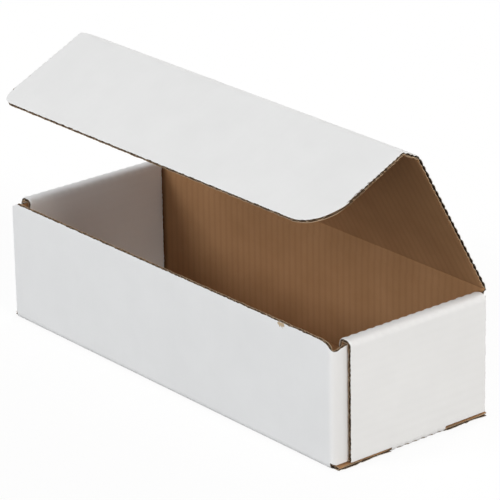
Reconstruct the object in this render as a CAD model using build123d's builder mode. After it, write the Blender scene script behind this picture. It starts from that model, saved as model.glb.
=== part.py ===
"""Corrugated mailer box: a roll-end, tuck-top box folded from one die-cut blank.

+Z is up, +X runs along the box, the front wall faces -Y, and the origin is the
centre of the underside. The lid stands part open and the tuck flap stands a
little more than square to it.
"""

import os
from math import cos, radians, sin

from build123d import *

# Driving dimensions, in millimetres and degrees.
box_length = 350.0  # outside, over the two end panels
box_width = 134.0  # outside, front wall to back wall
box_depth = 87.0  # underside to the top of the front wall and the rolled ends
board = 3.0  # thickness of the corrugated board

outer_layer_gap = 0.8  # between an end panel and the side flap inside it
inner_layer_gap = 1.5  # between that side flap and the inner end panel
layer_clearance = 0.5  # between any two other layers that lie on each other

front_recess = 12.3  # the rolled ends start this far behind the front wall's face
rear_recess = 5.1  # and stop this far before the back wall's face
side_flap_reach = 60.0  # side flap, out to the face of the wall that it is folded from

slot_length = 35.0  # the slots on either side of an end panel's foot crease
front_slot_height = 0.7
rear_slot_height = 1.4
bottom_edge_inset = 0.8  # raw edge of the bottom behind the end panel's face

tab_width = 25.0  # lock tabs at the foot of an inner end panel
tab_spacing = 66.0  # between the middles of its two tabs
tab_clearance = 0.4  # all round a tab in its hole
tab_tip_height = 0.4  # a tab's end above the underside

lid_left_margin = 12.0  # the lid stops this far short of the left end
lid_right_margin = 5.0  # and this far short of the right end
lid_rise = 0.6  # the shut lid's underside above the rolled ends
tuck_line = 2.0  # the shut tuck crease behind the front wall's face
strip_length = 14.3  # narrow strip between the lid's two front creases
strip_bend = 35.5  # the strip's angle below the lid
lid_open = 60.5  # the lid's angle above shut

flap_bend = 50.5  # the tuck flap's angle below the strip
flap_floor_gap = 0.3  # the shut flap's end above the bottom
flap_left_radius = 10.0
flap_right_radius = 27.0

hinge_gap = 0.7  # free space between the two round faces at a hinge

# Places that follow from them.
half_length = box_length / 2
half_width = box_width / 2
end_panel_x = half_length - board  # inner face of an end panel
wall_end_x = end_panel_x - outer_layer_gap - board  # where the front and back walls turn in
inner_back_x = wall_end_x - inner_layer_gap  # inner end panel, face against the side flap
inner_face_x = inner_back_x - board  # inner end panel, face that shows inside
bottom_edge_x = half_length - bottom_edge_inset
roll_front_y = front_recess - half_width
roll_rear_y = half_width - rear_recess
crease_front_y = roll_front_y + slot_length
crease_rear_y = roll_rear_y - slot_length
layer_floor = board + layer_clearance
side_flap_top = box_depth - board - layer_clearance

hinge_y = half_width - board / 2
hinge_z = box_depth + lid_rise + board / 2
root_centre = board + hinge_gap  # from a hinge axis to the centre of the round root
strip_run = strip_length * cos(radians(strip_bend))
strip_drop = strip_length * sin(radians(strip_bend))
lid_left_x = lid_left_margin - half_length
lid_right_x = half_length - lid_right_margin
lid_length = lid_right_x - lid_left_x
lid_reach = box_width - board / 2 - tuck_line - strip_run
flap_length = hinge_z - strip_drop - board - flap_floor_gap


def rising(angle):
    """Unit vector in the YZ plane that points to the front and rises by an angle."""
    return Vector(-cos(radians(angle)), sin(radians(angle)))


strip_angle = lid_open - strip_bend
flap_angle = strip_angle - flap_bend
hinge_point = Vector(hinge_y, hinge_z)
lid_root = hinge_point + rising(lid_open) * root_centre
bend_point = hinge_point + rising(lid_open) * lid_reach
tuck_point = bend_point + rising(strip_angle) * strip_length
flap_root = tuck_point + rising(flap_angle) * root_centre
flap_tip = tuck_point + rising(flap_angle) * flap_length


def board_section(start, end, angle):
    """Section of a rising stretch of board about its middle line, round at both ends."""
    middle = (start + end) / 2
    with Locations((middle.X, middle.Y)):
        SlotCenterToCenter((end - start).length, board, rotation=-angle)


# The tray: everything of the folded blank but its lid and tuck flap.
with BuildPart() as tray:
    # Bottom, front wall and back wall, with the round top that the lid turns about.
    with BuildSketch(Plane.YZ.offset(-wall_end_x)) as wall_profile:
        with BuildLine():
            Polyline(
                (-half_width, box_depth),
                (-half_width, 0),
                (half_width, 0),
                (half_width, hinge_z),
                (half_width - board, hinge_z),
                (half_width - board, board),
                (board - half_width, board),
                (board - half_width, box_depth),
                close=True,
            )
        make_face()
        fillet(wall_profile.vertices().group_by(Axis.Y)[0], radius=board)
        with Locations((hinge_y, hinge_z)):
            Circle(board / 2)
    extrude(amount=2 * wall_end_x)

    # The bottom runs on under the end panels, with raw edges beside their creases.
    with BuildSketch():
        Rectangle(2 * end_panel_x, box_width - 2 * board)
        for inside, outside in (
            (crease_front_y, board - half_width),
            (crease_rear_y, half_width - board),
        ):
            with Locations((0, (inside + outside) / 2)):
                Rectangle(2 * bottom_edge_x, abs(outside - inside))
    extrude(amount=board)

    # Side flaps, turned in from both ends of the front and back walls.
    with BuildSketch(Plane.XY.offset(layer_floor)):
        with BuildLine():
            bend = CenterArc((wall_end_x, board - half_width), board, -90, 90)
            Polyline(
                bend @ 1,
                (wall_end_x + board, side_flap_reach - half_width),
                (wall_end_x, side_flap_reach - half_width),
                bend @ 0,
            )
        make_face()
        mirror(about=Plane.YZ)
        mirror(about=Plane.XZ)
    extrude(amount=side_flap_top - layer_floor)

    # Rolled ends: up outside, over the side flaps and down inside to the bottom.
    with BuildSketch(Plane.XZ.offset(-roll_rear_y)):
        with BuildLine():
            outer_turn = CenterArc((end_panel_x, box_depth - board), board, 0, 90)
            inner_turn = CenterArc((inner_back_x, box_depth - board), board, 90, 90)
            Line(outer_turn @ 1, inner_turn @ 0)
            Polyline(
                inner_turn @ 1,
                (inner_face_x, layer_floor),
                (inner_back_x, layer_floor),
                (inner_back_x, box_depth - board),
                (end_panel_x, box_depth - board),
                (end_panel_x, board),
                (half_length, board),
                outer_turn @ 0,
            )
        make_face()
        mirror(about=Plane.YZ)
    extrude(amount=roll_rear_y - roll_front_y)

    # Slots between the bottom and the end panels, on either side of each crease.
    for start, end, height in (
        (roll_front_y, crease_front_y, front_slot_height),
        (crease_rear_y, roll_rear_y, rear_slot_height),
    ):
        with BuildSketch(Plane.XY.offset(board)):
            for side in (-1, 1):
                with Locations((side * (end_panel_x + half_length) / 2, (start + end) / 2)):
                    Rectangle(board, end - start)
        extrude(amount=height, mode=Mode.SUBTRACT)

    # Creases that join the bottom to the end panels.
    with BuildSketch(Plane.XZ.offset(-crease_rear_y)):
        with BuildLine():
            foot_turn = CenterArc((end_panel_x, board), board, -90, 90)
            Polyline(foot_turn @ 1, (end_panel_x, board), foot_turn @ 0)
        make_face()
        mirror(about=Plane.YZ)
    extrude(amount=crease_rear_y - crease_front_y)

    # Holes in the bottom for the lock tabs, and the tabs.
    tab_places = GridLocations(inner_face_x + inner_back_x, tab_spacing, 2, 2)
    with BuildSketch():
        with tab_places:
            Rectangle(board + 2 * tab_clearance, tab_width + 2 * tab_clearance)
    extrude(amount=board, mode=Mode.SUBTRACT)
    with BuildSketch(Plane.XY.offset(tab_tip_height)):
        with tab_places:
            Rectangle(board, tab_width)
    extrude(amount=layer_floor - tab_tip_height)
tray.part.label = "tray"

# The lid, with the narrow strip between its two front creases.
with BuildPart() as lid:
    with BuildSketch(Plane.YZ.offset(lid_left_x)):
        board_section(lid_root, bend_point, lid_open)
        board_section(bend_point, tuck_point, strip_angle)
    extrude(amount=lid_length)
lid.part.label = "lid"

# The tuck flap. Its outline is drawn in the flap's own plane, from the tuck crease.
flap_plane = Plane(
    origin=((lid_left_x + lid_right_x) / 2, tuck_point.X, tuck_point.Y),
    x_dir=(1, 0, 0),
    z_dir=(0, sin(radians(flap_angle)), cos(radians(flap_angle))),
)
with BuildPart() as tuck_flap:
    with BuildSketch(Plane.YZ.offset(lid_left_x)):
        board_section(flap_root, flap_tip, flap_angle)
    extrude(amount=lid_length)
    with BuildSketch(flap_plane) as outline:
        with Locations((0, -flap_length / 2)):
            Rectangle(lid_length, flap_length)
        fillet(outline.vertices().group_by(Axis.Y)[0].sort_by(Axis.X)[0], radius=flap_left_radius)
        fillet(outline.vertices().group_by(Axis.Y)[0].sort_by(Axis.X)[-1], radius=flap_right_radius)
    extrude(amount=board, both=True, mode=Mode.INTERSECT)
tuck_flap.part.label = "tuck_flap"

os.makedirs("parts", exist_ok=True)
export_step(tray.part, "parts/tray.step")
export_step(lid.part, "parts/lid.step")
export_step(tuck_flap.part, "parts/tuck_flap.step")
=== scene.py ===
"""Looks of a corrugated mailer box: each panel is built as real board, ply by ply.

Board is two flat liners with a fluted medium between them. Every panel of the folded blank
is a section line carried straight along the panel's width, so one sheet class makes them all.
"""

import logging
import math
from dataclasses import dataclass, field
from enum import Enum
from typing import Callable

import bpy
import numpy as np
from mathutils import Matrix, Vector


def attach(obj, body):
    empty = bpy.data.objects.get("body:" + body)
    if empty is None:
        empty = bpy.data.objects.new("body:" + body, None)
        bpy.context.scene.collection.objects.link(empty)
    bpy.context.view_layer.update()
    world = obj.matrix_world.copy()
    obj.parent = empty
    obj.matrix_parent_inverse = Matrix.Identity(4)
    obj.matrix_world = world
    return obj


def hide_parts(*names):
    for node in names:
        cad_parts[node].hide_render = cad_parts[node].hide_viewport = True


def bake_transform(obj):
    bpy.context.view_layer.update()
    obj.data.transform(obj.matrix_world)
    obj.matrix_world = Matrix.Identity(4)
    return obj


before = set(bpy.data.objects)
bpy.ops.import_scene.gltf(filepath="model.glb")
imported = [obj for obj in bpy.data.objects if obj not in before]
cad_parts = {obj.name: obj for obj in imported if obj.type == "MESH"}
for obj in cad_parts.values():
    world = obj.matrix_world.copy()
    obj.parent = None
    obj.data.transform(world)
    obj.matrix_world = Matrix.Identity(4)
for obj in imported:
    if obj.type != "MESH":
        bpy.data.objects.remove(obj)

Array = np.ndarray
Trim = Callable[[Array], Array]
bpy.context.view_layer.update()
LOG = logging.getLogger("mailer_box")
MM = 0.001
FLUTE_MAP = "flutes"
TORN = "torn"
SCORE_PITCH = 7 * MM
FAR = 1.0
EDGE_BLEND = 40 * MM
KNIFE_DEPTH = 0.5 * MM


class Ply(Enum):
    """The three layers of single-wall board."""

    OUTER = "outer_liner"
    MEDIUM = "medium"
    INNER = "inner_liner"


class Flutes(Enum):
    """Which way a sheet's waves follow each other."""

    ACROSS = "across the sheet's width"
    ALONG = "along its section line"


@dataclass(frozen=True)
class Board:
    """Sizes of the corrugated board, in metres."""

    thickness: float = 3.0 * MM
    liner: float = 0.32 * MM
    medium: float = 0.28 * MM
    pitch: float = 6.3 * MM
    washboard: float = 0.05 * MM
    pinch: float = 0.14
    pinch_depth: float = 0.9 * MM
    tooth: float = 5.6 * MM
    tooth_pinch: float = 0.62
    ragged: float = 0.10 * MM
    recess: float = 0.45 * MM
    serration: float = 0.22 * MM
    serration_pitch: float = 3.4 * MM
    crush: float = 0.22

    @property
    def half(self) -> float:
        """Half of the thickness."""
        return self.thickness / 2

    @property
    def wave(self) -> float:
        """Height of the medium's wave about the middle of the board."""
        return self.half - self.liner - self.medium / 2


BOARD = Board()


@dataclass(frozen=True)
class BoxSizes:
    """Places of the folds, in metres and degrees, in the part's frame."""

    half_length: float = 175.0 * MM
    half_width: float = 67.0 * MM
    depth: float = 87.0 * MM
    wall_end: float = 168.2 * MM
    flap_middle: float = 169.7 * MM
    flap_top: float = 83.5 * MM
    flap_foot: float = 3.5 * MM
    flap_free: float = 7.0 * MM
    inner_middle: float = 165.2 * MM
    bottom_edge: float = 174.2 * MM
    roll_front: float = -54.7 * MM
    roll_rear: float = 61.9 * MM
    crease_front: float = -19.7 * MM
    crease_rear: float = 26.9 * MM
    front_slot: float = 0.7 * MM
    rear_slot: float = 1.4 * MM
    tab_half_spacing: float = 33.0 * MM
    tab_half_width: float = 12.5 * MM
    tab_clearance: float = 0.4 * MM
    tab_tip: float = 0.4 * MM
    hinge: tuple[float, float] = (65.5 * MM, 89.1 * MM)
    lid_left: float = -163.0 * MM
    lid_right: float = 170.0 * MM
    lid_reach: float = 118.86 * MM
    strip: float = 14.3 * MM
    flap: float = 77.3 * MM
    lid_angle: float = 60.5
    strip_angle: float = 25.0
    flap_angle: float = -25.5
    flap_left_radius: float = 10.0 * MM
    flap_right_radius: float = 27.0 * MM
    foot_seam: float = 170.625 * MM
    seam: float = 5.0 * MM
    lid_seam: float = 78.0 * MM
    bend: float = 1.5 * MM


SIZES = BoxSizes()


def ragged(seed: int, board: Board) -> Trim:
    """Uneven line of a cut edge: the knife's even teeth, and eight sines with seeded lengths.

    Args:
        seed: picks the sines' lengths and phases.
        board: gives the height of the sines, and the height and pitch of the teeth.

    Returns:
        A function from places along the edge to the sines' sum times half their height, plus
        the teeth, which are height * |sin(pi place / pitch)| below the line.
    """
    draw = np.random.default_rng(seed)
    waves = 1 / draw.uniform(1.6 * MM, 24 * MM, 8)
    phases = draw.uniform(0, 2 * np.pi, 8)

    def line(places: Array) -> Array:
        """The edge's places moved out or in by the sines and the teeth."""
        sines = np.sin(2 * np.pi * np.multiply.outer(places, waves) + phases).sum(-1)
        teeth = np.abs(np.sin(np.pi * places / board.serration_pitch))
        return board.ragged / 2 * sines - board.serration * (1 - teeth)

    return line


def trim(*knots: tuple[float, float]) -> Trim:
    """Straight lines from knot to knot, each a place along the edge and how far it stands out."""
    places, amounts = zip(*knots)
    return lambda where: np.interp(where, places, amounts)


NO_TRIM = trim((0.0, 0.0))


def steps(low: float, high: float, step: float, extra: tuple[float, ...] = ()) -> Array:
    """Places from low to high: even steps, fine ones beside both ends, and any extra ones.

    Args:
        low: first place.
        high: last place.
        step: largest distance between two places.
        extra: places that have to be among them.

    Returns:
        The places in order, with no even one closer than 0.06 mm to one that has to be there.
    """
    fixed = np.unique([low, high] + [place for place in extra if low < place < high])
    even = np.linspace(low, high, max(2, int(np.ceil((high - low) / step)) + 1))
    near = np.array([0.25, 0.6, 1.1]) * MM
    near = near[near < (high - low) / 2]
    loose = np.concatenate([even, low + near, high - near])
    away = np.abs(loose[:, None] - fixed[None, :]).min(1) > 0.06 * MM
    return np.unique(np.concatenate([fixed, loose[away]]))


@dataclass
class Stations:
    """Sampled section line: points, directions, distance along it and nearness to a bend."""

    point: Array
    tangent: Array
    run: Array
    crush: Array

    @property
    def normal(self) -> Array:
        """Outward direction: the tangent turned a quarter turn to the right."""
        return np.stack([self.tangent[:, 1], -self.tangent[:, 0]], 1)


@dataclass(frozen=True)
class FoldLine:
    """Middle line of a folded strip of board: straight stretches joined by round bends.

    Attributes:
        corners: the places where the straight stretches would meet, in the section's plane.
        radii: the middle line's radius at each corner but the first and the last.
        marks: distances along the line that have to be sampled.
    """

    corners: tuple[tuple[float, float], ...]
    radii: tuple[float, ...] = ()
    marks: tuple[float, ...] = ()

    def stations(self, step: float) -> Stations:
        """Walks the line: straights in even steps, and each bend as an arc of seven samples.

        Args:
            step: largest distance between two samples of a straight stretch.

        Returns:
            The samples. Crush is exp(-(d / 1.5 mm)^2), with d the distance to the nearest bend.
        """
        points = [np.array(corner, float) for corner in self.corners]
        ends = [points[0]]
        bends = []
        for before, corner, after, radius in zip(points, points[1:], points[2:], self.radii):
            arrive = (corner - before) / np.linalg.norm(corner - before)
            leave = (after - corner) / np.linalg.norm(after - corner)
            turn = math.atan2(arrive[0] * leave[1] - arrive[1] * leave[0], arrive @ leave)
            back = radius * math.tan(abs(turn) / 2)
            ends += [corner - arrive * back, corner + leave * back]
            bends.append((arrive, turn, radius))
        ends.append(points[-1])
        place, way, run, middles = [], [], [], []
        travelled = 0.0
        for index in range(len(ends) // 2):
            first, last = ends[2 * index], ends[2 * index + 1]
            length = float(np.linalg.norm(last - first))
            heading = (last - first) / length
            marks = tuple(mark - travelled for mark in self.marks)
            along = steps(0, length, step, marks)
            place.append(first + np.outer(along, heading))
            way.append(np.tile(heading, (len(along), 1)))
            run.append(travelled + along)
            travelled += length
            if index < len(bends):
                heading, turn, radius = bends[index]
                side = np.array([-heading[1], heading[0]]) * np.sign(turn)
                angle = abs(turn) * np.linspace(0, 1, 9)[1:-1]
                swing = np.outer(np.sin(angle), heading) + np.outer(1 - np.cos(angle), side)
                place.append(last + radius * swing)
                way.append(np.outer(np.cos(angle), heading) + np.outer(np.sin(angle), side))
                run.append(travelled + radius * angle)
                middles.append(travelled + radius * abs(turn) / 2)
                travelled += radius * abs(turn)
        distance = np.concatenate(run)
        gap = np.full(len(distance), 1.0)
        for middle in middles:
            gap = np.minimum(gap, np.abs(distance - middle))
        crush = np.exp(-((gap / (1.5 * MM)) ** 2))
        return Stations(np.concatenate(place), np.concatenate(way), distance, crush)


@dataclass(frozen=True)
class Section:
    """Plane of a section line, and the direction that it is carried along."""

    across: tuple[float, float, float]
    up: tuple[float, float, float]
    carry: tuple[float, float, float]

    @property
    def axes(self) -> Array:
        """The three directions as rows."""
        return np.array([self.across, self.up, self.carry], float)


SIDE_VIEW = Section((0, 1, 0), (0, 0, 1), (1, 0, 0))
FRONT_PLAN = Section((1, 0, 0), (0, 1, 0), (0, 0, 1))
BACK_PLAN = Section((1, 0, 0), (0, -1, 0), (0, 0, 1))
RIGHT_END = Section((1, 0, 0), (0, 0, 1), (0, 1, 0))
LEFT_END = Section((-1, 0, 0), (0, 0, 1), (0, 1, 0))


@dataclass(frozen=True)
class Sheet:
    """One panel, or a row of panels, of board: a fold line carried along its width.

    Attributes:
        name: what its pieces are called.
        line: the middle line of its section.
        section: where that section lies.
        low: where its width starts.
        high: where its width ends.
        flutes: which way the waves follow each other.
        start_trim: how much longer it is at the line's start, for places across its width.
        end_trim: the same at the line's end.
        low_trim: how much wider it is at the low side, for places along its line.
        high_trim: the same at the high side.
        raw: whether the start, the end, the low and the high side are cut edges.
        marks: places across the width that have to be sampled.
        holes: (low, high, first run, last run) of each hole.
        warp: how far the sheet bows outwards, in metres, at its middle.
        toothed: whether its low and high cuts are pinched between the teeth of the knife.
        score: height of the bumps that a broken score line leaves along the bends.
        seed: picks the unevenness of its cut edges.
        coarse: largest step in the direction that the flutes run in.
    """

    name: str
    line: FoldLine
    section: Section
    low: float
    high: float
    flutes: Flutes = Flutes.ACROSS
    start_trim: Trim = NO_TRIM
    end_trim: Trim = NO_TRIM
    low_trim: Trim = NO_TRIM
    high_trim: Trim = NO_TRIM
    raw: tuple[bool, bool, bool, bool] = (True, True, True, True)
    marks: tuple[float, ...] = ()
    holes: tuple[tuple[float, float, float, float], ...] = ()
    warp: float = 0.0
    toothed: bool = False
    score: float = 0.0
    seed: int = 1
    coarse: float = 5.0 * MM
    board: Board = BOARD

    def _thinning(self, width: Array, run: Array) -> Array:
        """Share of the thickness lost near cut edges.

        It is pinch * exp(-distance / pinch depth), the largest of the four sides' values. On a
        toothed side the pinch grows to the tooth pinch, as the cube of half of 1 + cos, once
        per tooth.
        """
        board = self.board
        bite = ((1 + np.cos(2 * np.pi * run / board.tooth)) / 2) ** 3
        side = board.pinch + (board.tooth_pinch - board.pinch) * bite * self.toothed
        fade = [
            np.exp(-run / board.pinch_depth) * board.pinch * self.raw[0] + 0 * width[:, None],
            np.exp(-(run[-1] - run) / board.pinch_depth) * board.pinch * self.raw[1] + 0 * width[:, None],
            np.exp(-(width - width[0]) / board.pinch_depth)[:, None] * side * self.raw[2],
            np.exp(-(width[-1] - width) / board.pinch_depth)[:, None] * side * self.raw[3],
        ]
        return np.maximum.reduce(fade)

    def _spread(self, ply: Ply, width: Array, line: Stations) -> tuple[Array, Array]:
        """Moves the grid in its own plane, so that its rim follows the trims and the knife.

        A trim fades linearly over 40 mm across the width, and over the first or last straight
        stretch along the line. The knife's unevenness fades as exp(-distance / 0.5 mm).

        Args:
            ply: which layer; the medium stays a little behind the liners.
            width: places across the width.
            line: samples of the section line.

        Returns:
            How far each grid point moves across the width, and along the line.
        """
        board, run = self.board, line.run
        number = 10 * self.seed + list(Ply).index(ply)
        back = board.recess if ply is Ply.MEDIUM else 0.0
        knife = [ragged(number + 3 * side, board) for side in range(4)]
        soft = line.crush < 0.05
        first = run[np.argmax(~soft)] if (~soft).any() else run[-1]
        last = run[len(run) - 1 - np.argmax(~soft[::-1])] if (~soft).any() else 0.0
        pull = np.clip(1 - run / first, 0, 1)
        push = np.clip((run - last) / (run[-1] - last), 0, 1)
        ease = min(EDGE_BLEND, (self.high - self.low) / 2)
        west = np.clip(1 - (width - self.low) / ease, 0, 1)[:, None]
        east = np.clip(1 - (self.high - width) / ease, 0, 1)[:, None]
        cut = [
            (knife[0](width) - back)[:, None] * np.exp(-run / KNIFE_DEPTH) * self.raw[0],
            (knife[1](width) - back)[:, None] * np.exp(-(run[-1] - run) / KNIFE_DEPTH) * self.raw[1],
            (knife[2](run) - back) * np.exp(-(width - self.low) / KNIFE_DEPTH)[:, None] * self.raw[2],
            (knife[3](run) - back) * np.exp(-(self.high - width) / KNIFE_DEPTH)[:, None] * self.raw[3],
        ]
        sideways = east * self.high_trim(run) + cut[3] - west * self.low_trim(run) - cut[2]
        along = push * self.end_trim(width)[:, None] + cut[1]
        along = along - pull * self.start_trim(width)[:, None] - cut[0]
        return sideways, along

    def grid(self, ply: Ply) -> tuple[Array, Array, Array]:
        """Works out one ply's surface.

        A grid point is the line's point, moved along the tangent by its spread, along the
        normal by the ply's height, and along the carrying direction by its place. A liner's
        height is half the board, less the thinning and the crush at bends, with a washboard
        cosine. The medium's height is a sine of the flute phase.

        Args:
            ply: which layer.

        Returns:
            Points (width, run, 3), flute map (width, run, 2) and which cells are kept.
        """
        board = self.board
        fine = board.pitch / (10 if ply is Ply.MEDIUM else 7)
        across = self.flutes is Flutes.ACROSS
        width = steps(self.low, self.high, fine if across else self.coarse, self.marks)
        line = self.line.stations(self.coarse if across else fine)
        run = line.run
        sideways, along = self._spread(ply, width, line)
        place = width[:, None] + sideways
        distance = run[None, :] + along
        phase = 2 * np.pi * (place if across else distance) / board.pitch
        bumps = self.score * (0.5 + 0.5 * np.cos(2 * np.pi * width / SCORE_PITCH))[:, None] * line.crush
        thin = (1 - self._thinning(width, run)) * (1 - board.crush * line.crush)
        if ply is Ply.MEDIUM:
            height = board.wave * thin * np.sin(phase)
        else:
            sign = 1 if ply is Ply.OUTER else -1
            ripple = board.washboard / 2 * (1 - sign * np.sin(phase)) * (1 - line.crush)
            height = sign * (board.half * thin - ripple)
        bow = np.sin(np.pi * (width - self.low) / (self.high - self.low))[:, None]
        height = height + self.warp * bow * np.sin(np.pi * run / run[-1]) * (1 - line.crush) - bumps
        plane = line.point + line.tangent * along[:, :, None] + line.normal * height[:, :, None]
        axes = self.section.axes
        points = plane[:, :, :1] * axes[0] + plane[:, :, 1:] * axes[1] + place[:, :, None] * axes[2]
        chart = np.stack([place, distance] if across else [distance, place], 2)
        middle_width = (width[1:] + width[:-1])[:, None] / 2
        middle_run = (run[1:] + run[:-1])[None, :] / 2
        keep = np.ones((len(width) - 1, len(run) - 1), bool)
        for left, right, begin, finish in self.holes:
            inside = (middle_width > left) & (middle_width < right)
            keep &= ~(inside & (middle_run > begin) & (middle_run < finish))
        return points, chart, keep

    def piece(self, ply: Ply, dress: "PlyDress") -> bpy.types.Object:
        """Makes one ply as a mesh with its thickness.

        Args:
            ply: which layer.
            dress: finishes of its face, its back and its cut rim.

        Returns:
            The object, at the origin.
        """
        points, chart, keep = self.grid(ply)
        looks_out = ply is not Ply.INNER
        turned = bool(np.linalg.det(self.section.axes) > 0) == looks_out
        mesh = grid_mesh(f"{self.name}_{ply.value}", points, chart, keep, turned)
        thing = bpy.data.objects.new(mesh.name, mesh)
        bpy.context.scene.collection.objects.link(thing)
        for material in (dress.face, dress.back, dress.rim):
            mesh.materials.append(material)
        shell = thing.modifiers.new("thickness", "SOLIDIFY")
        shell.thickness = self.board.medium if ply is Ply.MEDIUM else self.board.liner
        shell.offset = 0 if ply is Ply.MEDIUM else -1
        shell.material_offset = 1
        shell.material_offset_rim = 2
        return thing


def grid_mesh(name: str, points: Array, chart: Array, keep: Array, turned: bool) -> bpy.types.Mesh:
    """Turns a grid of points into a mesh of quads, without the cells that are left out.

    Args:
        name: the mesh's name.
        points: grid of places (rows, columns, 3).
        chart: grid of map coordinates (rows, columns, 2).
        keep: which cells become faces.
        turned: whether the faces look the other way.

    Returns:
        The mesh, smooth but for its rim, with its map.
    """
    rows, columns = points.shape[:2]
    number = np.arange(rows * columns).reshape(rows, columns)
    quads = np.stack([number[:-1, :-1], number[1:, :-1], number[1:, 1:], number[:-1, 1:]], 2)[keep]
    if turned:
        quads = quads[:, ::-1]
    used, quads = np.unique(quads, return_inverse=True)
    quads = quads.reshape(-1, 4)
    mesh = bpy.data.meshes.new(name)
    mesh.vertices.add(len(used))
    mesh.vertices.foreach_set("co", points.reshape(-1, 3)[used].ravel())
    mesh.loops.add(quads.size)
    mesh.loops.foreach_set("vertex_index", quads.ravel().astype(np.int32))
    mesh.polygons.add(len(quads))
    mesh.polygons.foreach_set("loop_start", np.arange(0, quads.size, 4, dtype=np.int32))
    mesh.update(calc_edges=True)
    mesh.shade_smooth()
    layer = mesh.uv_layers.new(name=FLUTE_MAP)
    layer.data.foreach_set("uv", chart.reshape(-1, 2)[used][quads.ravel()].astype(np.float32).ravel())
    edge_of = np.zeros(quads.size, np.int32)
    mesh.loops.foreach_get("edge_index", edge_of)
    sharp = np.bincount(edge_of, minlength=len(mesh.edges)) == 1
    mesh.attributes.new("sharp_edge", "BOOLEAN", "EDGE").data.foreach_set("value", sharp)
    return mesh


@dataclass(frozen=True)
class PaperFinish:
    """Paper of one ply.

    Attributes:
        name: the material's name.
        colour: its main colour, linear.
        mottle: the colour of its cloudy patches.
        cloud: share of the mottle in a patch.
        painted_flute_shade: how much painted shade of the flutes underneath darkens it, at most, in stripes
            along the flute waves.
        fibre: strength of the fibre bumps.
        roughness: of the surface.
        torn: whether marked places show the brown pulp under the white.
    """

    name: str
    colour: tuple[float, float, float]
    mottle: tuple[float, float, float]
    cloud: float = 0.5
    painted_flute_shade: float = 0.0
    fibre: float = 0.15
    roughness: float = 0.85
    torn: bool = False

    def build(self) -> bpy.types.Material:
        """Makes the node tree: cloudy noise, painted stripes of flute shade, torn places and fibre bumps.

        Returns:
            The material.
        """
        material = bpy.data.materials.new(self.name)
        material.use_nodes = True
        nodes, links = material.node_tree.nodes, material.node_tree.links
        shader = nodes["Principled BSDF"]
        shader.inputs["Roughness"].default_value = self.roughness
        shader.inputs["Specular IOR Level"].default_value = 0.25
        place = nodes.new("ShaderNodeTexCoord").outputs["Object"]

        def noise(
            scale: float, detail: float, stretch: tuple[float, float, float]
        ) -> bpy.types.NodeSocket:
            """Noise on object coordinates.

            Args:
                scale: waves per metre.
                detail: octaves.
                stretch: factor on each axis.

            Returns:
                The noise's value socket.
            """
            mapping = nodes.new("ShaderNodeMapping")
            mapping.inputs["Scale"].default_value = stretch
            links.new(place, mapping.inputs["Vector"])
            made = nodes.new("ShaderNodeTexNoise")
            made.inputs["Scale"].default_value = scale
            made.inputs["Detail"].default_value = detail
            links.new(mapping.outputs["Vector"], made.inputs["Vector"])
            return made.outputs["Fac"]

        def mixed(
            low: bpy.types.NodeSocket, high: tuple[float, ...], share: bpy.types.NodeSocket
        ) -> bpy.types.NodeSocket:
            """Mixes a colour into another.

            Args:
                low: the colour so far.
                high: the colour mixed in.
                share: how much of it.

            Returns:
                The mixed colour's socket.
            """
            mix = nodes.new("ShaderNodeMix")
            mix.data_type = "RGBA"
            links.new(low, mix.inputs["A"])
            mix.inputs["B"].default_value = (*high, 1)
            links.new(share, mix.inputs["Factor"])
            return mix.outputs["Result"]

        def scaled(
            value: bpy.types.NodeSocket, lowest: float, highest: float, top: float
        ) -> bpy.types.NodeSocket:
            """Maps a value's range onto the range from 0, and clamps.

            Args:
                value: the value's socket.
                lowest: the value that becomes 0.
                highest: the value that becomes the top.
                top: the largest result.

            Returns:
                The result's socket.
            """
            spread = nodes.new("ShaderNodeMapRange")
            for key, amount in (("From Min", lowest), ("From Max", highest), ("To Max", top)):
                spread.inputs[key].default_value = amount
            links.new(value, spread.inputs["Value"])
            return spread.outputs["Result"]

        base = nodes.new("ShaderNodeRGB")
        base.outputs[0].default_value = (*self.colour, 1)
        clouds = scaled(noise(38, 5, (1, 1, 1)), 0.35, 0.7, self.cloud)
        colour = mixed(base.outputs[0], self.mottle, clouds)
        specks = scaled(noise(900, 2, (1, 1, 1)), 0.62, 0.8, self.cloud)
        colour = mixed(colour, self.mottle, specks)
        # Painted shade: stripes darker along the flute waves stand for the shadows of the flutes under the
        # liner.
        if self.painted_flute_shade:
            chart = nodes.new("ShaderNodeUVMap")
            chart.uv_map = FLUTE_MAP
            split = nodes.new("ShaderNodeSeparateXYZ")
            links.new(chart.outputs["UV"], split.inputs["Vector"])
            wave = nodes.new("ShaderNodeMath")
            wave.operation = "MULTIPLY"
            wave.inputs[1].default_value = 2 * math.pi / BOARD.pitch
            links.new(split.outputs["X"], wave.inputs[0])
            sine = nodes.new("ShaderNodeMath")
            sine.operation = "SINE"
            links.new(wave.outputs[0], sine.inputs[0])
            flute_shade_colour = tuple(0.55 * part for part in self.colour)
            colour = mixed(colour, flute_shade_colour, scaled(sine.outputs[0], -0.2, 1.0, self.painted_flute_shade))
        if self.torn:
            mark = nodes.new("ShaderNodeAttribute")
            mark.attribute_name = TORN
            fray = nodes.new("ShaderNodeMath")
            fray.operation = "ADD"
            links.new(mark.outputs["Fac"], fray.inputs[0])
            links.new(scaled(noise(700, 3, (1, 1, 1)), 0.3, 0.7, 0.5), fray.inputs[1])
            colour = mixed(colour, (0.50, 0.38, 0.25), scaled(fray.outputs[0], 0.72, 0.86, 1.0))
            colour = mixed(colour, (0.16, 0.10, 0.055), scaled(fray.outputs[0], 1.2, 2.2, 0.9))
        links.new(colour, shader.inputs["Base Color"])
        bump = nodes.new("ShaderNodeBump")
        bump.inputs["Strength"].default_value = self.fibre
        bump.inputs["Distance"].default_value = 0.1 * MM
        links.new(noise(1500, 4, (1, 1, 0.4)), bump.inputs["Height"])
        links.new(bump.outputs["Normal"], shader.inputs["Normal"])
        return material


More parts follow.
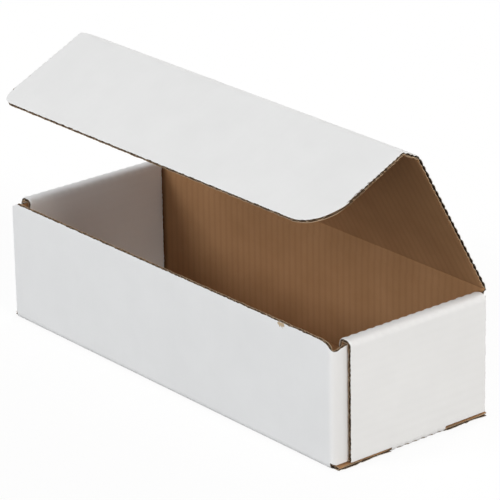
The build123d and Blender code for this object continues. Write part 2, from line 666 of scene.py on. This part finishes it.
@dataclass(frozen=True)
class PlyDress:
    """Finishes of one ply: the face that shows, its back, and its cut rim."""

    face: bpy.types.Material
    back: bpy.types.Material
    rim: bpy.types.Material


@dataclass
class Papers:
    """The papers that the board is made of, white outside and brown inside; the fluting is brown paper
    darkened with painted shade.
    """

    white: bpy.types.Material = field(init=False)
    kraft: bpy.types.Material = field(init=False)
    # brown paper darkened with painted shade of the flute hollows
    fluting_with_painted_shade: bpy.types.Material = field(init=False)
    white_cut: bpy.types.Material = field(init=False)
    brown_cut: bpy.types.Material = field(init=False)

    def __post_init__(self) -> None:
        """Builds the five materials."""
        self.white = PaperFinish(
            "white_liner", (0.80, 0.805, 0.81), (0.76, 0.765, 0.77), 0.5, fibre=0.08, torn=True
        ).build()
        self.kraft = PaperFinish(
            "kraft_liner", (0.38, 0.205, 0.095), (0.31, 0.16, 0.07), 0.6, painted_flute_shade=0.2, fibre=0.3
        ).build()
        # Painted shade: the fluting's dark brown stands for the shadow inside the flutes, on top of the
        # paper's own brown.
        self.fluting_with_painted_shade = PaperFinish(
            "fluting_paper_painted_shade", (0.17, 0.11, 0.065), (0.12, 0.075, 0.045), 0.6, fibre=0.3
        ).build()
        self.white_cut = PaperFinish(
            "cut_white_paper", (0.70, 0.68, 0.65), (0.52, 0.44, 0.36), 0.7, fibre=0.3
        ).build()
        self.brown_cut = PaperFinish(
            "cut_brown_paper", (0.52, 0.38, 0.25), (0.36, 0.24, 0.145), 0.7, fibre=0.3
        ).build()

    def dress(self, ply: Ply) -> PlyDress:
        """The finishes that a ply takes."""
        return {
            # the faces inside the board take the fluting, darkened with painted shade
            Ply.OUTER: PlyDress(self.white, self.fluting_with_painted_shade, self.white_cut),
            Ply.MEDIUM: PlyDress(self.fluting_with_painted_shade, self.fluting_with_painted_shade, self.brown_cut),
            Ply.INNER: PlyDress(self.kraft, self.fluting_with_painted_shade, self.brown_cut),
        }[ply]


def rising(angle: float, length: float) -> tuple[float, float]:
    """Step of some length in the side view, at an angle in degrees above straight forward."""
    turn = math.radians(angle)
    return -math.cos(turn) * length, math.sin(turn) * length


def after(point: tuple[float, float], move: tuple[float, float]) -> tuple[float, float]:
    """The point that a move leads to."""
    return point[0] + move[0], point[1] + move[1]


@dataclass
class Tray:
    """Bottom, walls, side flaps and rolled ends: everything below the lid's hinge."""

    sizes: BoxSizes = SIZES
    body: str = "tray"

    def floor_and_feet(self) -> Sheet:
        """Bottom with the feet of the front and back walls; its end creases stay open.

        Returns:
            The sheet, with the lock tabs' holes.
        """
        size = self.sizes
        wall = size.half_width - BOARD.half
        foot = size.seam - BOARD.half - size.bend
        quarter = size.bend * math.pi / 2
        start = foot + quarter
        flat = 2 * (wall - size.bend)

        def at(y: float) -> float:
            """Distance along the line of a place on the bottom."""
            return start + y + wall - size.bend

        line = FoldLine(
            ((-wall, size.seam), (-wall, BOARD.half), (wall, BOARD.half), (wall, size.seam)),
            (size.bend, size.bend),
            (at(size.crease_front), at(size.crease_rear))
            + tuple(
                at(side * size.tab_half_spacing + edge * (size.tab_half_width + size.tab_clearance))
                for side in (-1, 1)
                for edge in (-1, 1)
            ),
        )
        walls = ((-FAR, start), (start + flat, FAR))
        holes = []
        for side in (-1, 1):
            for begin, finish in walls:
                holes.append((*sorted((side * size.wall_end, side * FAR)), begin, finish))
            edge = sorted((side * size.foot_seam, side * FAR))
            holes.append((*edge, at(size.crease_front), at(size.crease_rear)))
            near = sorted(
                side * (size.inner_middle + push * (BOARD.half + size.tab_clearance)) for push in (-1, 1)
            )
            for tab in (-1, 1):
                middle = at(tab * size.tab_half_spacing)
                reach = size.tab_half_width + size.tab_clearance
                holes.append((near[0], near[1], middle - reach, middle + reach))
        marks = sorted({abs(edge) for hole in holes for edge in hole[:2] if abs(edge) < FAR})
        return Sheet(
            "tray_bottom",
            line,
            SIDE_VIEW,
            -size.bottom_edge,
            size.bottom_edge,
            raw=(False, False, True, True),
            marks=tuple(marks) + tuple(-mark for mark in marks),
            holes=tuple(holes),
            toothed=True,
            seed=2,
        )

    def wall(
        self, name: str, plan: Section, top: float, high_trim: Trim, raw_top: bool, seed: int
    ) -> Sheet:
        """A wall with the side flap at either end of it.

        Args:
            name: what its pieces are called.
            plan: the plan it is folded in.
            top: height of its upper edge.
            high_trim: shape of that edge along the plan line.
            raw_top: whether that edge is cut.
            seed: picks the unevenness of its cuts.

        Returns:
            The sheet.
        """
        size = self.sizes
        side, front = size.flap_middle, size.half_width - BOARD.half
        line = FoldLine(
            ((-side, -size.flap_free), (-side, -front), (side, -front), (side, -size.flap_free)),
            (size.bend, size.bend),
        )
        fold = front - size.flap_free
        low_trim = trim(
            (fold - 0.2 * MM, size.seam - size.flap_foot),
            (fold + 2 * MM, 0.0),
            (fold + 2 * side - 2 * MM, 0.0),
            (fold + 2 * side + 0.2 * MM, size.seam - size.flap_foot),
        )
        return Sheet(
            name,
            line,
            plan,
            size.seam,
            top,
            Flutes.ALONG,
            low_trim=low_trim,
            high_trim=high_trim,
            raw=(True, True, False, raw_top),
            warp=0.5 * MM * raw_top,
            seed=seed,
        )

    def front(self) -> Sheet:
        """Front wall; its upper edge is crushed down where it meets the right side flap."""
        size = self.sizes
        fold = size.half_width - BOARD.half - size.flap_free
        far = fold + 2 * size.flap_middle - 2 * (2 - math.pi / 2) * size.bend
        drop = size.flap_top - size.depth
        edge = trim(
            (fold - 1 * MM, drop),
            (fold + 5 * MM, 0.0),
            (far - 11 * MM, 0.0),
            (far - 5 * MM, -0.9 * MM),
            (far - 2 * MM, -2.2 * MM),
            (far + 0.5 * MM, -5.0 * MM),
            (far + 3 * MM, -5.6 * MM),
            (far + 11 * MM, drop),
        )
        return self.wall("tray_front", FRONT_PLAN, size.depth, edge, True, 3)

    def back(self) -> Sheet:
        """Back wall, up to the seam that the lid's sheet starts from."""
        size = self.sizes
        fold = size.half_width - BOARD.half - size.flap_free
        far = fold + 2 * size.flap_middle - 2 * (2 - math.pi / 2) * size.bend
        rise = size.flap_top - size.lid_seam
        edge = trim(
            (fold + 0.1 * MM, rise), (fold + 0.7 * MM, 0.0), (far - 0.7 * MM, 0.0), (far - 0.1 * MM, rise)
        )
        return self.wall("tray_back", BACK_PLAN, size.lid_seam, edge, False, 4)

    def end(self, name: str, section: Section, seed: int) -> Sheet:
        """Rolled end: from the bottom up the outside, over the top strip and down the inside.

        Args:
            name: what its pieces are called.
            section: the side it is rolled on.
            seed: picks the unevenness of its cuts.

        Returns:
            The sheet, with its foot slots and lock tabs.
        """
        size = self.sizes
        outer = size.half_length - BOARD.half
        crown = size.depth - BOARD.half
        quarter = size.bend * (math.pi / 2 - 1)
        foot = outer - size.foot_seam

        def on_panel(height: float) -> float:
            """Distance along the line of a height on the outer panel."""
            return foot + height - BOARD.half + quarter - size.bend

        strip = outer - size.inner_middle
        inner_start = on_panel(crown) + strip + 2 * (quarter - size.bend)

        def on_inner(height: float) -> float:
            """Distance along the line of a height on the inner panel."""
            return inner_start + crown - height

        line = FoldLine(
            (
                (size.foot_seam, BOARD.half),
                (outer, BOARD.half),
                (outer, crown),
                (size.inner_middle, crown),
                (size.inner_middle, size.tab_tip),
            ),
            (size.bend, size.bend, size.bend),
            (
                on_panel(BOARD.thickness + size.front_slot),
                on_panel(BOARD.thickness + size.rear_slot),
                on_inner(size.flap_foot),
            ),
        )
        tabs = sorted(
            side * size.tab_half_spacing + edge * size.tab_half_width for side in (-1, 1) for edge in (-1, 1)
        )
        below = on_inner(size.flap_foot)
        holes = (
            (-FAR, size.crease_front, -FAR, on_panel(BOARD.thickness + size.front_slot)),
            (size.crease_rear, FAR, -FAR, on_panel(BOARD.thickness + size.rear_slot)),
            (-FAR, tabs[0], below, FAR),
            (tabs[1], tabs[2], below, FAR),
            (tabs[3], FAR, below, FAR),
        )
        return Sheet(
            name,
            line,
            section,
            size.roll_front,
            size.roll_rear,
            Flutes.ALONG,
            raw=(False, True, True, True),
            marks=(size.crease_front, size.crease_rear, *tabs),
            holes=holes,
            score=0.55 * MM,
            seed=seed,
            coarse=1.75 * MM,
        )

    def build(self, papers: Papers) -> list[bpy.types.Object]:
        """Makes every ply of the tray, and marks the torn spot on the front.

        Args:
            papers: the papers to dress it in.

        Returns:
            Its pieces.
        """
        sheets = [
            self.floor_and_feet(),
            self.front(),
            self.back(),
            self.end("tray_left_end", LEFT_END, 5),
            self.end("tray_right_end", RIGHT_END, 6),
        ]
        made = [sheet.piece(ply, papers.dress(ply)) for sheet in sheets for ply in Ply]
        for thing in made:
            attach(thing, self.body)
            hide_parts("tray")
            BrokenPaper().mark(thing.data)
        return made


@dataclass(frozen=True)
class BrokenPaper:
    """Where the white paper is broken: a spot of the front, and the feet's cut scores."""

    spot: tuple[float, float] = (122 * MM, 85.4 * MM)
    spot_reach: tuple[float, float] = (5.2 * MM, 2.8 * MM)
    face: float = 0.5 * MM
    score_height: float = 1.7 * MM
    score_wave: float = 0.6 * MM
    score_fade: float = 0.5 * MM
    depth: float = 2.0

    def mark(self, mesh: bpy.types.Mesh) -> None:
        """Writes the marks on a mesh.

        The spot's mark is 1 - ((x - middle) / reach)^2 - ((z - middle) / reach)^2. The score's
        goes from 0 to its depth within its fade, below a line that waves with its bridges.

        Args:
            mesh: mesh to mark.
        """
        places = np.empty(len(mesh.vertices) * 3)
        mesh.vertices.foreach_get("co", places)
        x, y, z = places.reshape(-1, 3).T
        off = [(x - self.spot[0]) / self.spot_reach[0], (z - self.spot[1]) / self.spot_reach[1]]
        spot = np.clip(1 - off[0] ** 2 - off[1] ** 2, 0, 1) * (y < self.face - SIZES.half_width)
        line = self.score_height + self.score_wave * np.cos(2 * np.pi * y / SCORE_PITCH)
        score = self.depth * np.clip((line - z) / self.score_fade, 0, 1)
        score *= np.abs(x) > SIZES.half_length - BOARD.thickness
        score *= (y > SIZES.crease_front) & (y < SIZES.crease_rear)
        amount = np.maximum(spot, score).astype(np.float32)
        mesh.attributes.new(TORN, "FLOAT", "POINT").data.foreach_set("value", amount)


@dataclass
class Lid:
    """Lid with its hinge crease and the near half of the narrow strip."""

    sizes: BoxSizes = SIZES

    def sheet(self) -> Sheet:
        """The lid's sheet, from the top of the back wall to the middle of the strip.

        Returns:
            The sheet; its sides step out to the wall's ends below the hinge.
        """
        size = self.sizes
        bend = after(size.hinge, rising(size.lid_angle, size.lid_reach))
        end = after(bend, rising(size.strip_angle, size.strip / 2))
        up = size.hinge[1] - size.lid_seam
        low_trim = trim((up - 3.2 * MM, size.wall_end + size.lid_left), (up - 1.6 * MM, 0.0))
        high_trim = trim((up - 3.2 * MM, size.wall_end - size.lid_right), (up - 1.6 * MM, 0.0))
        return Sheet(
            "lid",
            FoldLine(((size.hinge[0], size.lid_seam), size.hinge, bend, end), (2.0 * MM, 4.0 * MM)),
            SIDE_VIEW,
            size.lid_left,
            size.lid_right,
            low_trim=low_trim,
            high_trim=high_trim,
            raw=(False, False, True, True),
            warp=0.8 * MM,
            toothed=True,
            seed=7,
            coarse=1.5 * MM,
        )

    def build(self, papers: Papers) -> list[bpy.types.Object]:
        """Makes the lid's plies, whose section bends round the hinge from the back wall up to the lid.

        Args:
            papers: the papers to dress it in.

        Returns:
            Its pieces.
        """
        made = [self.sheet().piece(ply, papers.dress(ply)) for ply in Ply]
        for thing in made:
            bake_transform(thing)
            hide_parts("lid")
        return made


@dataclass
class TuckFlap:
    """Tuck flap with the far half of the narrow strip and the crease between them."""

    sizes: BoxSizes = SIZES

    def sheet(self) -> Sheet:
        """The flap's sheet, with two corners of different radius.

        Returns:
            The sheet; a corner of radius r takes r - sqrt(r^2 - (r - d)^2) off its length, at a
            distance d below r from the side.
        """
        size = self.sizes
        bend = after(size.hinge, rising(size.lid_angle, size.lid_reach))
        middle = after(bend, rising(size.strip_angle, size.strip / 2))
        tuck = after(bend, rising(size.strip_angle, size.strip))
        tip = after(tuck, rising(size.flap_angle, size.flap))

        def corners(width: Array) -> Array:
            """How much the rounded corners take off."""
            left = np.clip(size.flap_left_radius - (width - size.lid_left), 0, size.flap_left_radius)
            right = np.clip(size.flap_right_radius - (size.lid_right - width), 0, size.flap_right_radius)
            off_left = size.flap_left_radius - np.sqrt(size.flap_left_radius**2 - left**2)
            off_right = size.flap_right_radius - np.sqrt(size.flap_right_radius**2 - right**2)
            return -off_left - off_right

        return Sheet(
            "flap",
            FoldLine((middle, tuck, tip), (2.0 * MM,)),
            SIDE_VIEW,
            size.lid_left,
            size.lid_right,
            end_trim=corners,
            raw=(False, True, True, True),
            warp=0.6 * MM,
            toothed=True,
            seed=8,
            coarse=1.5 * MM,
        )

    def build(self, papers: Papers) -> list[bpy.types.Object]:
        """Makes the flap's plies, whose section bends round the tuck crease from the strip down to the flap.

        Args:
            papers: the papers to dress it in.

        Returns:
            Its pieces.
        """
        made = [self.sheet().piece(ply, papers.dress(ply)) for ply in Ply]
        for thing in made:
            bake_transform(thing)
            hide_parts("tuck_flap")
        return made


@dataclass
class Studio:
    """White surroundings: an even sky, a white floor and two weak lamps."""

    floor_half: float = 6.0
    sky: float = 1.18
    ceiling: float = 0.0
    ceiling_half: float = 2.6
    floor_reflects: float = 0.28
    shadow_share: float = 0.1
    cool: float = 0.33
    warm: float = 0.42
    back: float = 0.3

    def build(self) -> None:
        """Makes the sky, the floor and the lamps."""
        world = bpy.data.worlds.new("sky")
        bpy.context.scene.world = world
        world.use_nodes = True
        nodes, links = world.node_tree.nodes, world.node_tree.links
        nodes["Background"].inputs["Color"].default_value = (1, 1, 1, 1)
        nodes["Background"].inputs["Strength"].default_value = self.sky
        seen = nodes.new("ShaderNodeBackground")
        seen.inputs["Color"].default_value = (1, 1, 1, 1)
        pick = nodes.new("ShaderNodeMixShader")
        links.new(nodes.new("ShaderNodeLightPath").outputs["Is Camera Ray"], pick.inputs["Fac"])
        links.new(nodes["Background"].outputs[0], pick.inputs[1])
        links.new(seen.outputs[0], pick.inputs[2])
        links.new(pick.outputs[0], nodes["World Output"].inputs["Surface"])
        self._card("floor", self.floor_half, -0.2 * MM, self._floor_paint())
        ceiling = self._card("ceiling", self.ceiling_half, self.ceiling_half, self._ceiling_paint())
        ceiling.visible_camera = False
        self._lamp("cool_lamp", (-0.35, -0.80, 0.48), self.cool, (0.95, 0.975, 1.0))
        self._lamp("warm_lamp", (0.86, -0.10, 0.50), self.warm, (1.0, 0.95, 0.88))
        self._lamp("back_lamp", (-0.30, 0.85, 0.40), self.back, (1.0, 1.0, 1.0))

    def _card(
        self, name: str, half: float, height: float, paint: bpy.types.Material
    ) -> bpy.types.Object:
        """A level square card of the surroundings.

        Args:
            name: what it is called.
            half: half of its side.
            height: where it hangs or lies.
            paint: its material.

        Returns:
            The card.
        """
        mesh = bpy.data.meshes.new(name)
        sides = ((-1, -1), (1, -1), (1, 1), (-1, 1))
        corners = [(half * x, half * y, height) for x, y in sides]
        mesh.from_pydata(corners, [], [(0, 1, 2, 3)])
        mesh.materials.append(paint)
        card = bpy.data.objects.new(name, mesh)
        bpy.context.scene.collection.objects.link(card)
        return card

    def _ceiling_paint(self) -> bpy.types.Material:
        """Dim even glow, so that less light comes from straight above than from the sides."""
        paint = bpy.data.materials.new("ceiling_glow")
        paint.use_nodes = True
        nodes = paint.node_tree.nodes
        glow = nodes.new("ShaderNodeEmission")
        glow.inputs["Strength"].default_value = self.ceiling
        paint.node_tree.links.new(glow.outputs[0], nodes["Material Output"].inputs["Surface"])
        return paint

    def _floor_paint(self) -> bpy.types.Material:
        """White floor: to the camera it is mostly plain white, with a share of its shading."""
        paint = bpy.data.materials.new("floor_white")
        paint.use_nodes = True
        nodes, links = paint.node_tree.nodes, paint.node_tree.links
        nodes.clear()
        shade = nodes.new("ShaderNodeBsdfDiffuse")
        shade.inputs["Color"].default_value = (self.floor_reflects,) * 3 + (1,)
        seen = nodes.new("ShaderNodeBsdfDiffuse")
        seen.inputs["Color"].default_value = (1, 1, 1, 1)
        plain = nodes.new("ShaderNodeEmission")
        mix = nodes.new("ShaderNodeMixShader")
        mix.inputs["Fac"].default_value = self.shadow_share
        links.new(plain.outputs[0], mix.inputs[1])
        links.new(seen.outputs[0], mix.inputs[2])
        path = nodes.new("ShaderNodeLightPath")
        pick = nodes.new("ShaderNodeMixShader")
        links.new(path.outputs["Is Camera Ray"], pick.inputs["Fac"])
        links.new(shade.outputs[0], pick.inputs[1])
        links.new(mix.outputs[0], pick.inputs[2])
        output = nodes.new("ShaderNodeOutputMaterial")
        links.new(pick.outputs[0], output.inputs["Surface"])
        return paint

    def _lamp(
        self,
        name: str,
        toward: tuple[float, float, float],
        strength: float,
        colour: tuple[float, float, float],
    ) -> None:
        """A far soft lamp.

        Args:
            name: what it is called.
            toward: direction from the box to the lamp.
            strength: light on a surface that faces it.
            colour: its colour.
        """
        lamp = bpy.data.lights.new(name, "SUN")
        lamp.energy = strength * math.pi
        lamp.angle = math.radians(22)
        lamp.color = colour
        thing = bpy.data.objects.new(name, lamp)
        thing.rotation_euler = Vector(toward).to_track_quat("Z", "Y").to_euler()
        bpy.context.scene.collection.objects.link(thing)


@dataclass
class ViewPoint:
    """Camera that looks at the box's middle from its front right, from a little above.

    Attributes:
        azimuth: degrees from straight ahead towards the right.
        elevation: degrees above level.
        roll: degrees that the camera leans to its right.
        distance: from the camera to the middle of its view, in metres.
        shift: how far the box's lower left front corner is right of and above that middle.
        lens: focal length for a 36 mm sensor.
    """

    azimuth: float = 50.67
    elevation: float = 21.45
    roll: float = -0.99
    distance: float = 2.2976
    shift: tuple[float, float] = (-168.71 * MM, -46.11 * MM)
    lens: float = 233.27

    def place(self) -> None:
        """Makes the camera and gives it to the scene."""
        turn, lift = math.radians(self.azimuth), math.radians(self.elevation)
        back = Vector((math.sin(turn) * math.cos(lift), -math.cos(turn) * math.cos(lift), math.sin(lift)))
        level = Vector((0, 0, 1)).cross(back).normalized()
        lean = Matrix.Rotation(math.radians(self.roll), 3, back)
        right = lean @ level
        up = back.cross(right)
        corner = Vector((-SIZES.half_length, -SIZES.half_width, 0))
        aim = corner - right * self.shift[0] - up * self.shift[1]
        camera = bpy.data.cameras.new("camera")
        camera.lens = self.lens
        camera.sensor_width = 36
        camera.clip_end = 30
        thing = bpy.data.objects.new("camera", camera)
        place = aim + back * self.distance
        axes = Matrix((right, up, back)).transposed().to_4x4()
        thing.matrix_world = Matrix.Translation(place) @ axes
        bpy.context.scene.collection.objects.link(thing)
        bpy.context.scene.camera = thing


def plain(box: object) -> object:
    """A bounding box as plain lists."""
    return [[float(value) for value in corner] for corner in box]


def main() -> None:
    """Builds the box's sheets in order, then the studio and the camera."""
    logging.basicConfig(level=logging.INFO, format="%(name)s: %(message)s")
    papers = Papers()
    for part in (Tray(), Lid(), TuckFlap()):
        for thing in part.build(papers):
            LOG.info("%s has %d faces", thing.name, len(thing.data.polygons))
    Studio().build()
    ViewPoint().place()
    bpy.context.scene.view_settings.view_transform = "Standard"


if __name__ == "__main__":
    main()
